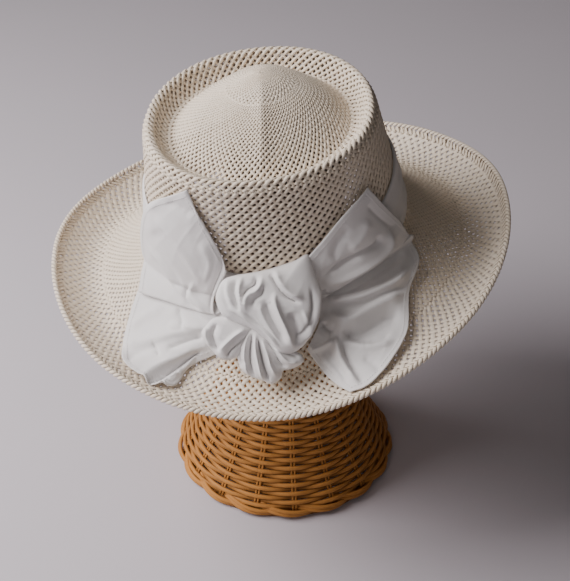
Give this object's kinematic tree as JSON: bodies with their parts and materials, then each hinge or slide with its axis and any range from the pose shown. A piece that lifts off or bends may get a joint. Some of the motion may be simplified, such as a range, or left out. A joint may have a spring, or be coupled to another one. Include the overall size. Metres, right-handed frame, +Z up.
{
  "type": "sun hat on a wicker stand",
  "caption": "Woven straw sun hat with a ringed crown, a curled brim, a folded cotton band and a knotted bow, resting on a hollow flared wicker stand.",
  "frame": {"origin": "on the floor, under the middle of the bounding box", "axes": "+Z up; -Y is the side that carries the bow; +X is to the right of someone who looks at the bow"},
  "size_m": [0.3614, 0.3482, 0.3867],
  "materials": {
    "straw": "open weave, matte",
    "cotton": "soft, matte",
    "cane": "satin"
  },
  "bodies": {
    "root": {"hat_body": "straw", "brim_edge": "straw", "hat_band": "cotton", "bow_left_upper": "cotton", "bow_left_lower": "cotton", "bow_right_upper": "cotton", "bow_right_lower": "cotton", "bow_knot": "cotton", "bow_pleats": "cotton", "stand": "cane", "stand_border": "cane"}
  },
  "joints": []
}
